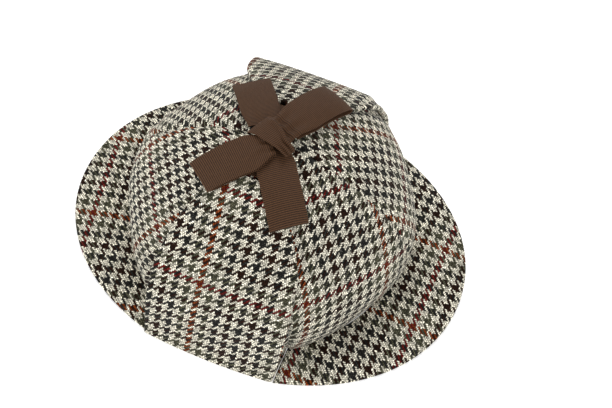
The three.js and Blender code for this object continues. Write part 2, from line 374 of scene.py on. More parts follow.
def cloth_piece(name, middle, thickness, weave, material, front=0.0, floor=False):
    """A closed piece of cloth round a grid of points, with turned edges.

    front is how far its outside stands off the plain thickness, weave is where each point lies in the woven
    cloth, and floor flattens the piece where it rests.
    """
    turn = thickness / 2
    off_edge = edge_distance(middle)
    rounded = np.sqrt(1 - (1 - np.clip(off_edge / turn, 0, 1)) ** 2)
    normals = face_normals(middle)
    rows, columns = middle.shape[:2]
    faces = [
        middle + normals * ((turn + front) * rounded)[..., None],
        middle - normals * (turn * rounded)[..., None],
    ]
    inside = np.zeros((rows, columns), bool)
    inside[1:-1, 1:-1] = True
    points = np.concatenate([faces[0].reshape(-1, 3), faces[1][inside]])
    if floor:
        points[:, 2] = np.maximum(points[:, 2], 0)
    where = np.concatenate([weave.reshape(-1, 2), weave[inside]])
    top = np.arange(rows * columns).reshape(rows, columns)
    under = top.copy()
    under[inside] = rows * columns + np.arange(inside.sum())
    quads = []
    for index, order in ((top, (0, 1, 2, 3)), (under, (0, 3, 2, 1))):
        corners = [index[:-1, :-1], index[:-1, 1:], index[1:, 1:], index[1:, :-1]]
        quads.append(np.stack([corners[k].ravel() for k in order], -1))
    piece = mesh_object(name, points, np.concatenate(quads), where, material)
    outside = piece.data.attributes.new("outside", "BOOLEAN", "FACE")
    outside.data.foreach_set("value", np.arange(2 * len(quads[0])) < len(quads[0]))
    return piece


def mesh_object(name, points, quads, where, material):
    """A smooth mesh from points in millimetres and quads, with where as its cloth map, in metres."""
    mesh = bpy.data.meshes.new(name)
    mesh.from_pydata((points * MM).tolist(), [], quads.tolist())
    layer = mesh.uv_layers.new(name="cloth")
    corners = np.empty(len(mesh.loops), np.int32)
    mesh.loops.foreach_get("vertex_index", corners)
    layer.uv.foreach_set("vector", (where[corners] * MM).astype(np.float32).ravel())
    mesh.materials.append(material)
    mesh.shade_smooth()
    piece = bpy.data.objects.new(name, mesh)
    bpy.context.scene.collection.objects.link(piece)
    return piece


def settle(piece, slot, *nodes):
    """Puts a finished piece in its place: what it rides on and the nodes that it stands for. Its finish, the
    slot, is not used.
    """
    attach(piece, "root")
    if nodes:
        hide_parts(*nodes)
    return piece


def settle_cloth(piece, slot, node):
    """Puts a finished piece of cloth in its place. How it is held, the slot, is not used."""
    settle(piece, slot, node)


# ---------------------------------------------------------------------------------------------------------
# Materials and node trees


def add(tree, kind, inputs=None, output=0, **settings):
    """Adds a node with its settings, and returns one of its outputs, if it has any.

    Inputs are values or sockets, by name or in a list by their order.
    """
    node = tree.nodes.new(kind)
    for name, value in settings.items():
        setattr(node, name, value)
    for name, value in inputs.items() if isinstance(inputs, dict) else enumerate(inputs or []):
        if isinstance(value, bpy.types.NodeSocket):
            tree.links.new(value, node.inputs[name])
        else:
            node.inputs[name].default_value = value
    return node.outputs[output] if node.outputs else None


MATHS = "ShaderNodeMath"
GEOMETRY_MATHS = "ShaderNodeVectorMath"
COLOUR_MIX = {"kind": "ShaderNodeMix", "output": "Result", "data_type": "RGBA"}


def new_material(name):
    """An empty material and its node tree."""
    material = bpy.data.materials.new(name)
    material.use_nodes = True
    material.node_tree.nodes.clear()
    return material, material.node_tree


def finish_material(tree, material, inputs):
    """Ends a material in one shader."""
    add(tree, "ShaderNodeOutputMaterial", {"Surface": add(tree, "ShaderNodeBsdfPrincipled", inputs)})
    return material


def group_colours(tree, index, colours):
    """The colour of a group of yarns, by its index in the check, counted from the coloured line."""
    ramp = tree.nodes.new("ShaderNodeValToRGB")
    ramp.color_ramp.interpolation = "CONSTANT"
    stops = ramp.color_ramp.elements
    while len(stops) < len(colours):
        stops.new(1)
    for i, colour in enumerate(colours):
        stops[i].position = i / len(colours)
        stops[i].color = (*colour, 1)
    tree.links.new(index, ramp.inputs["Fac"])
    return ramp.outputs["Color"]


def woven_colour(tree, tweed):
    """The houndstooth check and the height of its yarns, both read from the piece's cloth map.

    Both ways the yarns lie in fours, dark and light in turn, and each floats over two and under two, one
    yarn on from its neighbour. That alone draws the broken check.
    """
    place = add(tree, "ShaderNodeUVMap", uv_map="cloth")
    yarns = add(tree, GEOMETRY_MATHS, {0: place, "Scale": 1 / tweed.yarn}, operation="SCALE")
    # Handling and pressing push the yarns a little out of line.
    push = add(tree, "ShaderNodeTexNoise", {"Vector": yarns, "Scale": 0.16, "Detail": 2}, output="Color")
    push = add(tree, GEOMETRY_MATHS, [push, (0.5, 0.5, 0.5)], operation="SUBTRACT")
    push = add(tree, GEOMETRY_MATHS, {0: push, "Scale": 1.3}, operation="SCALE")
    clumps = add(tree, "ShaderNodeTexNoise", {"Vector": yarns, "Scale": 0.42, "Detail": 2, "Roughness": 0.6})
    hairs = add(tree, "ShaderNodeTexNoise", {"Vector": yarns, "Scale": 1.3, "Detail": 3}, output="Color")
    hairs = add(tree, GEOMETRY_MATHS, [hairs, (0.5, 0.5, 0.5)], operation="SUBTRACT")
    hairs = add(tree, GEOMETRY_MATHS, {0: hairs, "Scale": 0.75}, operation="SCALE")
    yarns = add(tree, GEOMETRY_MATHS, [yarns, push], operation="ADD")
    yarns = add(tree, GEOMETRY_MATHS, [yarns, hairs], operation="ADD")
    split = add(tree, "ShaderNodeSeparateXYZ", [yarns]).node
    across, along = split.outputs[0], split.outputs[1]
    check = YARNS_IN_GROUP * 2 * GROUPS_IN_CHECK
    names = {"warp": (across, along), "weft": (along, across)}
    brown, slate, lichen = tweed.brown, tweed.slate, tweed.lichen
    dark = {
        "warp": [tweed.rust, lichen, slate, brown, slate, brown, slate, lichen],
        "weft": [tweed.wine, lichen, brown, slate, brown, slate, brown, lichen],
    }
    colours, heights = {}, {}
    whole = {name: add(tree, MATHS, [own], operation="FLOOR") for name, (own, _) in names.items()}
    for name, (own, other) in names.items():
        # Colour of this yarn: which group of the check it is in, and whether it is in the dark half.
        turn = add(tree, MATHS, [whole[name], check], operation="FLOORED_MODULO")
        share = add(tree, MATHS, [turn, check], operation="DIVIDE")
        dyed = group_colours(tree, share, dark[name])
        half = add(tree, MATHS, [whole[name], 2 * YARNS_IN_GROUP], operation="FLOORED_MODULO")
        is_dark = add(tree, MATHS, [half, YARNS_IN_GROUP - 0.5], operation="LESS_THAN")
        # Blended wool: each stretch of a yarn is a little lighter or darker, along its length.
        run = add(tree, MATHS, [whole[name], other], operation="ADD")
        number = add(tree, MATHS, [run, YARNS_IN_GROUP], operation="DIVIDE")
        number = add(tree, MATHS, [number], operation="FLOOR")
        stitch = add(tree, "ShaderNodeCombineXYZ", [whole[name], number])
        blend = add(tree, "ShaderNodeTexWhiteNoise", {"Vector": stitch})
        stretch = add(tree, "ShaderNodeCombineXYZ", [whole[name], other])
        stretch = add(tree, GEOMETRY_MATHS, [stretch, (3.7, 1.1, 1)], operation="MULTIPLY")
        fleck = {"Vector": stretch, "Scale": 1, "Detail": 4, "Roughness": 0.7}
        fleck = add(tree, "ShaderNodeTexNoise", fleck)
        yarn = add(tree, inputs={"Factor": is_dark, "A": (*tweed.light, 1), "B": dyed}, **COLOUR_MIX)
        # Stray hairs: pale ones in the dark yarns and dark ones in the pale.
        stray = {"Vector": stretch, "Scale": 1.7, "Detail": 2, "Roughness": 0.6}
        stray = add(tree, "ShaderNodeTexNoise", stray)
        stray = add(
            tree, "ShaderNodeMapRange", {"Value": stray, "From Min": 0.57, "From Max": 0.71, "To Max": 0.45}
        )
        other_wool = {"Factor": is_dark, "A": (*slate, 1), "B": (*lichen, 1)}
        other_wool = add(tree, inputs=other_wool, **COLOUR_MIX)
        yarn = add(tree, inputs={"Factor": stray, "A": yarn, "B": other_wool}, **COLOUR_MIX)
        colours[name] = add(
            tree, "ShaderNodeHueSaturation", {"Color": yarn, "Value": fleck_value(tree, blend, fleck, clumps)}
        )
        # Height of this yarn: rounded across, and dipping where it goes under.
        middle = add(tree, MATHS, [own], operation="FRACT")
        middle = add(tree, MATHS, [middle, np.pi], operation="MULTIPLY")
        round_over = add(tree, MATHS, [middle], operation="SINE")
        float_start = 0 if name == "warp" else 2
        run = add(tree, MATHS, [run, float_start], operation="SUBTRACT")
        run = add(tree, MATHS, [run, YARNS_IN_GROUP], operation="FLOORED_MODULO")
        run = add(tree, MATHS, [run, np.pi / 2], operation="MULTIPLY")
        arch = add(tree, MATHS, [run], operation="SINE")
        arch = add(tree, MATHS, [arch, 0], operation="MAXIMUM")
        heights[name] = add(tree, MATHS, [round_over, arch], operation="MULTIPLY")
    # The warp shows where the two yarns' numbers add up to the first half of a float.
    order = add(tree, MATHS, [whole["warp"], whole["weft"]], operation="ADD")
    order = add(tree, MATHS, [order, YARNS_IN_GROUP], operation="FLOORED_MODULO")
    warp_up = add(tree, MATHS, [order, 1.5], operation="LESS_THAN")
    colour = add(tree, inputs={"Factor": warp_up, "A": colours["weft"], "B": colours["warp"]}, **COLOUR_MIX)
    height = {"Factor": warp_up, "A": heights["weft"], "B": heights["warp"]}
    height = add(tree, "ShaderNodeMix", height, data_type="FLOAT")
    fuzz = add(tree, "ShaderNodeTexNoise", {"Vector": yarns, "Scale": 4, "Detail": 3, "Roughness": 0.7})
    height = add(tree, MATHS, [fuzz, 0.5, height], operation="MULTIPLY_ADD")
    return colour, height


def fleck_value(tree, blend, fleck, clumps):
    """How bright a yarn is: each float from its own blend of wool, flecked and clumped along its length."""
    value = add(tree, "ShaderNodeMapRange", {"Value": blend, "To Min": 0.6, "To Max": 1.3})
    for noise, low, high in ((fleck, 0.6, 1.35), (clumps, 0.7, 1.3)):
        spread = {"Value": noise, "From Min": 0.37, "From Max": 0.63, "To Min": low, "To Max": high}
        spread = add(tree, "ShaderNodeMapRange", spread)
        value = add(tree, MATHS, [value, spread], operation="MULTIPLY")
    return value


def woollen_tweed(tweed):
    """Woollen tweed, woven two over two and milled: dull and hairy, with painted shade between its yarns and
    painted highlight on their crests.
    """
    material, tree = new_material("woollen_tweed")
    colour, height = woven_colour(tree, tweed)
    # Painted shade where the yarns dip under each other and painted highlight on their crests, taken from the
    # yarns' height.
    painted_shading = {"Value": height, "From Min": 0.25, "From Max": 1.05, "To Min": 0.12, "To Max": 1.32}
    painted_shading = add(tree, "ShaderNodeMapRange", painted_shading)
    colour = add(tree, "ShaderNodeHueSaturation", {"Color": colour, "Value": painted_shading})
    bump = add(tree, "ShaderNodeBump", {"Strength": 0.8, "Distance": 0.35 * MM, "Height": height})
    inputs = {
        "Base Color": colour,
        "Roughness": 0.95,
        "Specular IOR Level": 0.1,
        "Normal": bump,
        "Sheen Weight": 0.12,
        "Sheen Roughness": 0.25,
    }
    return finish_material(tree, material, inputs)


def loose_wool(tweed):
    """Loose wool ends, each the colour of the yarn that it stands in, a little paler at this thinness."""
    material, tree = new_material("loose_wool")
    colour = woven_colour(tree, tweed)[0]
    colour = add(tree, "ShaderNodeHueSaturation", {"Color": colour, "Value": 1.15, "Saturation": 0.8})
    surface = {"Base Color": colour, "Roughness": 0.9, "Specular IOR Level": 0.2, "Sheen Weight": 0.3}
    return finish_material(tree, material, surface)


def ribbed_ribbon(ribbon):
    """Ribbed ribbon of rayon over cotton: soft shine on the ribs, with painted highlight on the rib tops and
    painted shade in the furrows, and fine threads along it.
    """
    material, tree = new_material("ribbed_ribbon")
    place = add(tree, "ShaderNodeUVMap", uv_map="cloth")
    # Warp threads of 0.3 mm run along the ribbon over each rib.
    threads = add(tree, GEOMETRY_MATHS, [place, (1 / (0.3 * MM), 1 / (3 * MM), 1)], operation="MULTIPLY")
    split = add(tree, "ShaderNodeSeparateXYZ", [threads]).node
    thread = add(tree, MATHS, [split.outputs[0], 0.5], operation="PINGPONG")
    uneven = add(tree, "ShaderNodeTexNoise", {"Vector": threads, "Scale": 0.6, "Detail": 3})
    height = add(tree, MATHS, [uneven, 0.6, thread], operation="MULTIPLY_ADD")
    split = add(tree, "ShaderNodeSeparateXYZ", [place]).node
    rib = add(tree, MATHS, [split.outputs[1], np.pi / ribbon.rib], operation="MULTIPLY")
    rib = add(tree, MATHS, [rib], operation="SINE")
    rib = add(tree, MATHS, [rib], operation="ABSOLUTE")
    # Painted shade in the furrows between the ribs and painted highlight on the rib tops.
    painted_shading = {"Value": rib, "From Min": 0.1, "From Max": 0.9, "To Min": 0.1, "To Max": 1.5}
    painted_shading = add(tree, "ShaderNodeMapRange", painted_shading)
    tone = {"Value": uneven, "From Min": 0.3, "From Max": 0.7, "To Min": 0.85, "To Max": 1.15}
    tone = add(tree, "ShaderNodeMapRange", tone)
    value = add(tree, MATHS, [painted_shading, tone], operation="MULTIPLY")
    colour = add(tree, "ShaderNodeHueSaturation", {"Color": (*ribbon.colour, 1), "Value": value})
    bump = add(tree, "ShaderNodeBump", {"Strength": 0.5, "Distance": 0.06 * MM, "Height": height})
    surface = {"Base Color": colour, "Roughness": 0.62, "Specular IOR Level": 0.2, "Normal": bump}
    return finish_material(tree, material, surface)


def paper_sweep(studio):
    """Matt white paper on a light table, which keeps it plain white under the hat's own shadow."""
    material, tree = new_material("paper_sweep")
    inputs = {
        "Base Color": (*studio.floor, 1),
        "Roughness": 1,
        "Specular IOR Level": 0,
        "Emission Color": (1, 1, 1, 1),
        "Emission Strength": studio.table,
    }
    return finish_material(tree, material, inputs)


def shared_material(make, settings):
    """The material that a function makes, made once."""
    return bpy.data.materials.get(make.__name__) or make(settings)


# ---------------------------------------------------------------------------------------------------------
# Geometry Nodes


def new_tree(name, sizes):
    """An empty geometry tree whose inputs are a mesh, a material and named sizes."""
    tree = bpy.data.node_groups.new(name, "GeometryNodeTree")
    tree.interface.new_socket("Geometry", in_out="INPUT", socket_type="NodeSocketGeometry")
    tree.interface.new_socket("Geometry", in_out="OUTPUT", socket_type="NodeSocketGeometry")
    tree.interface.new_socket("Material", in_out="INPUT", socket_type="NodeSocketMaterial")
    for size in sizes:
        tree.interface.new_socket(size, in_out="INPUT", socket_type="NodeSocketFloat")
    return tree, add(tree, "NodeGroupInput").node.outputs


def end_tree(tree, geometry, material):
    """Ends a geometry tree in plain geometry with its material."""
    geometry = add(tree, "GeometryNodeRealizeInstances", [geometry])
    geometry = add(tree, "GeometryNodeSetMaterial", {"Geometry": geometry, "Material": material})
    add(tree, "NodeGroupOutput", [geometry])


def ribs_tree():
    """Raises the crosswise ribs of a ribbon, which follow its length in the cloth map."""
    tree, given = new_tree("ribbon ribs", ["Rib", "Rib height"])
    place = add(tree, "GeometryNodeInputNamedAttribute", {"Name": "cloth"}, data_type="FLOAT_VECTOR")
    along = add(tree, "ShaderNodeSeparateXYZ", [place], output=1)
    turn = add(tree, MATHS, [along, given["Rib"]], operation="DIVIDE")
    turn = add(tree, MATHS, [turn, np.pi], operation="MULTIPLY")
    wave = add(tree, MATHS, [turn], operation="SINE")
    wave = add(tree, MATHS, [wave], operation="ABSOLUTE")
    height = add(tree, MATHS, [wave, given["Rib height"]], operation="MULTIPLY")
    normal = add(tree, "GeometryNodeInputNormal")
    offset = add(tree, GEOMETRY_MATHS, {0: normal, "Scale": height}, operation="SCALE")
    geometry = add(tree, "GeometryNodeSetPosition", {"Geometry": given["Geometry"], "Offset": offset})
    end_tree(tree, geometry, given["Material"])
    return tree


def fibres_tree():
    """Scatters bent, tapering wool ends over the outside of a piece of cloth."""
    tree, given = new_tree("wool fibres", ["Density", "Length", "Width", "Seed"])
    outside = add(tree, "GeometryNodeInputNamedAttribute", {"Name": "outside"}, data_type="BOOLEAN")
    seed = add(tree, "FunctionNodeFloatToInt", [given["Seed"]])
    scattered = add(
        tree,
        "GeometryNodeDistributePointsOnFaces",
        {"Mesh": given["Geometry"], "Selection": outside, "Density": given["Density"], "Seed": seed},
        output="Points",
    )
    turned = scattered.node.outputs["Rotation"]
    # One wool end stands on its three-sided foot, tapers to a point and bends over with its height.
    cone = {"Vertices": 3, "Side Segments": 2, "Radius Top": 0}
    cone.update({"Radius Bottom": given["Width"], "Depth": given["Length"]})
    wool = add(tree, "GeometryNodeMeshCone", cone, output="Mesh")
    spot = add(tree, "GeometryNodeInputPosition")
    up = add(tree, "ShaderNodeSeparateXYZ", [spot], output=2)
    share = add(tree, MATHS, [up, given["Length"]], operation="DIVIDE")
    share = add(tree, MATHS, [share, 2], operation="POWER")
    lean = add(tree, MATHS, [share, given["Length"]], operation="MULTIPLY")
    offset = add(tree, "ShaderNodeCombineXYZ", [lean])
    wool = add(tree, "GeometryNodeSetPosition", {"Geometry": wool, "Offset": offset})
    # Each is turned about its foot, laid over towards the cloth, and longer or shorter than its neighbours.
    vector = {"kind": "FunctionNodeRandomValue", "data_type": "FLOAT_VECTOR"}
    spin = add(tree, inputs={"Min": (0.0, 0.55, 0.0), "Max": (0.0, 1.35, 0.0), "Seed": seed}, **vector)
    about = add(tree, inputs={"Max": (0.0, 0.0, 2 * np.pi), "Seed": seed}, **vector)
    laid = add(tree, "FunctionNodeEulerToRotation", [spin])
    about = add(tree, "FunctionNodeEulerToRotation", [about])
    for then in (about, laid):
        turned = add(tree, "FunctionNodeRotateRotation", [turned, then], rotation_space="LOCAL")
    size = add(tree, inputs={"Min": (0.6, 0.6, 0.4), "Max": (1.1, 1.1, 1.3), "Seed": seed}, **vector)
    placed = {"Points": scattered, "Instance": wool, "Rotation": turned, "Scale": size}
    geometry = add(tree, "GeometryNodeInstanceOnPoints", placed)
    # The whole of each end keeps the place in the weave that its foot stands on.
    geometry = add(tree, "GeometryNodeRealizeInstances", [geometry])
    # None of them goes down into the table under the peaks and the folds.
    parts = add(tree, "ShaderNodeSeparateXYZ", [spot]).node.outputs
    above = add(tree, MATHS, [parts[2], 0.2 * MM], operation="MAXIMUM")
    above = add(tree, "ShaderNodeCombineXYZ", [parts[0], parts[1], above])
    geometry = add(tree, "GeometryNodeSetPosition", {"Geometry": geometry, "Position": above})
    place = add(tree, "GeometryNodeInputNamedAttribute", {"Name": "cloth"}, data_type="FLOAT_VECTOR")
    geometry = add(
        tree,
        "GeometryNodeStoreNamedAttribute",
        {"Geometry": geometry, "Name": "cloth", "Value": place},
        data_type="FLOAT2",
        domain="CORNER",
    )
    end_tree(tree, geometry, given["Material"])
    return tree


def grown(piece, make_tree, material, sizes):
    """The plain mesh that a geometry tree makes of a piece, with the sizes given to its named inputs."""
    tree = bpy.data.node_groups.get(make_tree.__name__) or make_tree()
    tree.name = make_tree.__name__
    modifier = piece.modifiers.new(tree.name, "NODES")
    modifier.node_group = tree
    for socket in tree.interface.items_tree:
        if socket.in_out == "INPUT" and socket.name in sizes:
            modifier[socket.identifier] = float(sizes[socket.name])
        if socket.in_out == "INPUT" and socket.name == "Material":
            modifier[socket.identifier] = material
    seen = bpy.context.evaluated_depsgraph_get()
    mesh = bpy.data.meshes.new_from_object(piece.evaluated_get(seen))
    piece.modifiers.clear()
    return mesh


# ---------------------------------------------------------------------------------------------------------
# The pieces


def tweed_piece(row, middle, thickness, weave, tweed, **faces):
    """A closed piece of tweed, cut so that its rust and wine lines lie where its row says."""
    half_line = YARNS_IN_GROUP / 2 * tweed.yarn / MM
    weave = weave + np.array([half_line - row["rust"], half_line - row["wine"]])
    material = shared_material(woollen_tweed, tweed)
    return cloth_piece(f"{row['name']}_tweed", middle, thickness, weave, material, **faces)


def crown_panel(row, number, tweed):
    """One of the six panels that meet at the top of the crown."""
    centre = np.radians(30 + 60 * number)
    width = 2 * np.pi * RIM_RADIUS * (1 + CROWN_SWELL) / PANEL_COUNT
    across = spaced(width, 2.2, 1.1)
    heights = RIM_HEIGHT + CROWN_RISE * np.sin(np.pi / 2 * spaced(CROWN_RISE * np.pi / 2, 1.7, 1.1) * 0.9985)
    height = heights[:, None]
    slit = 0.05
    half_angle = np.pi / PANEL_COUNT - slit / crown_radius(height, centre + np.pi / PANEL_COUNT)
    turn = (2 * across[None, :] - 1) * half_angle
    angle = centre + turn
    radius = crown_radius(height, angle)
    height = np.broadcast_to(height, angle.shape)
    outer = np.stack([radius * np.cos(angle), radius * np.sin(angle), height], -1)
    middle = outer - face_normals(outer) * (CROWN_CLOTH / 2)
    # The cloth stands up a little where the seam's turnings lie under it, and pulls in at the stitches.
    walked, whole = walked_length(outer, 1)
    off_seam = np.minimum(walked, whole - walked)
    relief = 0.6 * (1 - smooth(off_seam, 6, 11)) - 1.0 * (1 - smooth(off_seam, 0, 3.5))
    stitches = 0.12 * np.sin(2 * np.pi * walked_length(outer, 0)[0] / 3.2) * (1 - smooth(off_seam, 0, 4))
    soft = unevenness(outer, 55, 0.55, 11) - 0.55
    # Place in the cloth: straight up the middle of the panel, and true to the grain on both sides of it.
    spine, length = walked_length(outer[:, len(across) // 2 : len(across) // 2 + 1], 0)
    from_tip = length - spine
    flare = -np.gradient(crown_radius(heights, centre), spine[:, 0])[:, None]
    grain = np.stack([radius * turn, from_tip - flare * radius * turn**2 / 2], -1)
    weave = np.stack(
        [
            (grain[..., 0] + row["lean"] * grain[..., 1]) / np.hypot(1, row["lean"]),
            (grain[..., 1] + row["sag"] * grain[..., 0]) / np.hypot(1, row["sag"]),
        ],
        -1,
    )
    # The ties pull the cloth into shallow folds that run out from the tip.
    folds = np.sin(2 * np.pi * (radius * turn / 21 + 0.37 * number)) * smooth(from_tip, 8, 26)
    folds = 0.7 * folds * (1 - smooth(from_tip, 34, 66))
    piece = tweed_piece(row, middle, CROWN_CLOTH, weave, tweed, front=relief + stitches + soft + folds)
    settle_cloth(piece, "tweed", row["name"])


def peak_reach(angle):
    """The outer edge of the peaks, in a direction seen from above."""
    ahead = np.abs(np.cos(angle) / PEAK_HALF_LENGTH) ** PEAK_POWER
    aside = np.abs(np.sin(angle) / PEAK_HALF_WIDTH) ** PEAK_POWER
    return (ahead + aside) ** (-1 / PEAK_POWER)


def peak(row, tweed):
    """A crescent peak from the rim to its edge, between the two flaps."""
    side = FLAP_HALF_WIDTH + PEAK_CLEARANCE
    low, high = np.array(0.0), np.array(np.pi / 2)
    rim_angle = crossing(lambda a: side - RIM_INSIDE * np.cos(a), low, high)
    edge_angle = crossing(lambda a: side - peak_reach(a) * np.cos(a), low, high)
    turn = 2 * spaced(2.2 * PEAK_HALF_LENGTH, 2.2, 1.5)[:, None] - 1
    out = spaced(PEAK_HALF_LENGTH - RIM_INSIDE, 1.4, 1.5)[None, :]
    rim = RIM_INSIDE * np.stack([np.cos(turn * rim_angle), np.sin(turn * rim_angle)], -1)
    reach = peak_reach(turn * edge_angle)
    edge = reach[..., None] * np.stack([np.cos(turn * edge_angle), np.sin(turn * edge_angle)], -1)
    edge[..., 1] += row["end"] * row["lean"]
    place = blend_between(rim, edge, out[..., None]) * row["end"]
    height = blend_between(RIM_SEAM, DOUBLE_CLOTH / 2, out) + PEAK_DOME * np.sin(np.pi * out)
    middle = np.concatenate([place, np.broadcast_to(height, place.shape[:2])[..., None]], -1)[::-1]
    middle[..., 2] += unevenness(middle, 70, 0.5, 5) * np.sin(np.pi * out)
    off_edge = walked_length(middle, 1)[1] - walked_length(middle, 1)[0]
    hem = 0.25 * (1 - smooth(off_edge, 5, 8)) - 0.15 * (1 - smooth(off_edge, 0.5, 3))
    cut = np.radians(row["turn"])
    weave = middle[..., :2] @ np.array([[-np.sin(cut), np.cos(cut)], [np.cos(cut), np.sin(cut)]])
    piece = tweed_piece(row, middle, DOUBLE_CLOTH, weave, tweed, front=hem, floor=True)
    settle_cloth(piece, "tweed", row["name"])


def crown_along(tilt, x):
    """How far along a tilted direction the crown lies, for points x to the side of a flap's middle."""

    def outside(reach):
        out = reach * np.cos(tilt)
        return np.hypot(x, out) - crown_radius(FOLD_TOP + reach * np.sin(tilt), np.arctan2(out, x))

    low = np.zeros_like(x)
    return crossing(outside, low, low + 1.5 * (RIM_RADIUS + CROWN_RISE))


def ear_flap(row, tweed):
    """An ear flap: from the rim down to the surface, round its fold and up over the crown to its tip."""
    across = 2 * spaced(2 * FLAP_HALF_WIDTH, 1.6, 1.5) - 1
    x = across * FLAP_HALF_WIDTH
    bow = FOLD_BOW * (1 - across**2)
    rim = np.sqrt(RIM_INSIDE**2 - x**2)
    level = np.full_like(x, DOUBLE_CLOTH / 2)
    rows = []
    for part in spaced(SHELF_SLOPE, 1, 1.2)[:-5]:
        drop = blend_between(RIM_SEAM, DOUBLE_CLOTH / 2, smooth(part, 0, 1))
        rows.append(np.stack([x, rim + part * SHELF_SLOPE, np.full_like(x, drop)], -1))
    for part in np.linspace(0, 1, 12):
        start = rim + SHELF_SLOPE + SHELF_FLAT
        rows.append(np.stack([x, blend_between(start, FLAP_FOLD - SHELF_FLAT + bow, part), level], -1))
    for turn in np.linspace(0, np.pi / 2, 7):
        out = FLAP_FOLD + FOLD_RADIUS * np.sin(turn) + bow
        rows.append(np.stack([x, out, np.full_like(x, FOLD_TOP - FOLD_RADIUS * np.cos(turn))], -1))
    fold_row = len(rows) - 4
    last = FLAP_SECTIONS[-1]["tilt"]
    for tilt in last * spaced(1.75 * last, 1.4, 1.5)[4:]:
        slant = np.radians(tilt)
        values = {name: from_table(FLAP_SECTIONS, "tilt", name, tilt) for name in FLAP_SECTIONS[0]}
        x = values["drift"] + across * values["half_width"]
        straight = crown_along(slant, np.zeros_like(x))
        bent = row["droop"] * smooth(across * row["side"], 0.72, 0.9) * smooth(tilt, 12, 28)
        hug = np.maximum(values["hug"], 0.75 * bent)
        followed = blend_between(straight, crown_along(slant, x), hug)
        bowed = (1 - smooth(tilt, 0, BOW_REACH)) * bow
        reach = followed + values["lift"] + DOUBLE_CLOTH / 2 + bowed
        rows.append(np.stack([x, reach * np.cos(slant), FOLD_TOP + reach * np.sin(slant)], -1))
    middle = np.stack(rows) * (row["side"], row["side"], 1)
    off_edge = edge_distance(middle)
    walked = walked_length(middle, 0)[0]
    up = walked - walked[fold_row : fold_row + 1]
    hem = 0.35 * (1 - smooth(off_edge, 5, 8)) - 0.2 * (1 - smooth(off_edge, 0.5, 3))
    soft = 0.4 + unevenness(middle, 60, 0.4, 7 + row["side"])
    side_to_side = walked_length(middle, 1)[0]
    centred = side_to_side - side_to_side[:, len(across) // 2][:, None]
    # The cloth is eased in over the last stretch to the fold.
    eased = up + 8 * (1 - smooth(up, 0, 60))
    weave = np.stack([centred, eased], -1)
    piece = tweed_piece(row, middle, DOUBLE_CLOTH, weave, tweed, front=hem + soft, floor=True)
    settle_cloth(piece, "tweed", row["name"])


def ribbon_arm(name, row, line, width_at, lift_by, ribbon, drift_at=None, slant=0):
    """A ribbon over the crown, from a place and in a direction seen from above.

    line holds its reach and lift from end to end. width_at and drift_at give its width and its step to the
    side at a reach, lift_by what its folds and curls add, and slant how far one corner of its end runs on.
    """
    path = along_path(line, ribbon.rib / MM / 7)
    walked = walked_length(path[:, None], 0)[0]
    part = spaced(RIBBON_WIDTH, 1.1, 0.4)[None, :] - 0.5
    reach, lift = path[:, :1], path[:, 1:]
    aside = part * width_at(reach) + (drift_at(reach) if drift_at else 0)
    out = reach + slant * part * reach / reach.max()
    ahead = np.array([np.cos(np.radians(row["direction"])), np.sin(np.radians(row["direction"]))])
    for _ in range(3):
        x = row["x"] + out * ahead[0] + aside * ahead[1]
        y = row["y"] + out * ahead[1] - aside * ahead[0]
        middle = over_crown(x, y, lift + lift_by(reach, part, walked))
        # The cloth keeps its width, so it covers less ground where it slopes or bends.
        aside = aside * width_at(reach) / np.linalg.norm(np.diff(middle, axis=1), axis=-1).sum(1)[:, None]
    weave = np.stack([part * RIBBON_WIDTH + 0 * reach, walked + 0 * part], -1)
    material = shared_material(ribbed_ribbon, ribbon)
    piece = cloth_piece(f"{name}_ribbon", middle, RIBBON_CLOTH - ribbon.rib_height / MM, weave, material)
    sizes = {"Rib": ribbon.rib, "Rib height": ribbon.rib_height}
    piece.data = grown(piece, ribs_tree, material, sizes)
    settle_cloth(piece, "ribbon", name)


def pinched(width):
    """A ribbon's width at a reach, where the knot pinches it to a width."""
    return lambda reach: blend_between(width, RIBBON_WIDTH, smooth(reach, PINCHED_TO, FULL_WIDTH_FROM))


def pleats(reach, part, last, height):
    """The small folds that a knot presses into a ribbon, dying out along it."""
    return height * (1 - smooth(reach, BOW_START, last)) * np.cos(2 * np.pi * 2.5 * part)


# ---------------------------------------------------------------------------------------------------------
# Operators


class HAT_OT_crown(bpy.types.Operator):
    """Makes the six panels of the crown"""

    bl_idname = "hat.crown"
    bl_label = "Crown panels"

    def execute(self, context):
        for number, row in enumerate(PANELS):
            crown_panel(row, number, context.scene.hat_tweed)
        return {"FINISHED"}


class HAT_OT_peaks(bpy.types.Operator):
    """Makes the front and back peaks"""

    bl_idname = "hat.peaks"
    bl_label = "Peaks"

    def execute(self, context):
        for row in PEAKS:
            peak(row, context.scene.hat_tweed)
        return {"FINISHED"}


class HAT_OT_flaps(bpy.types.Operator):
    """Makes the two ear flaps, folded up against the crown"""

    bl_idname = "hat.flaps"
    bl_label = "Ear flaps"

    def execute(self, context):
        for row in FLAPS:
            ear_flap(row, context.scene.hat_tweed)
        return {"FINISHED"}


class HAT_OT_ties(bpy.types.Operator):
    """Makes the two ties that run from the flaps' tips into the bow"""

    bl_idname = "hat.ties"
    bl_label = "Ties"

    def execute(self, context):
        line = [(reach, TIE_LIFT) for reach in np.linspace(TIE_START, TIE_END - GAP, 4)]

        def even(reach):
            return RIBBON_WIDTH + 0 * reach

        def plain(reach, part, walked):
            return 0 * (reach + part)

        for name, direction in (("tie_left", 90), ("tie_right", -90)):
            row = {"x": 0, "y": 0, "direction": direction}
            ribbon_arm(name, row, line, even, plain, context.scene.hat_ribbon)
        return {"FINISHED"}


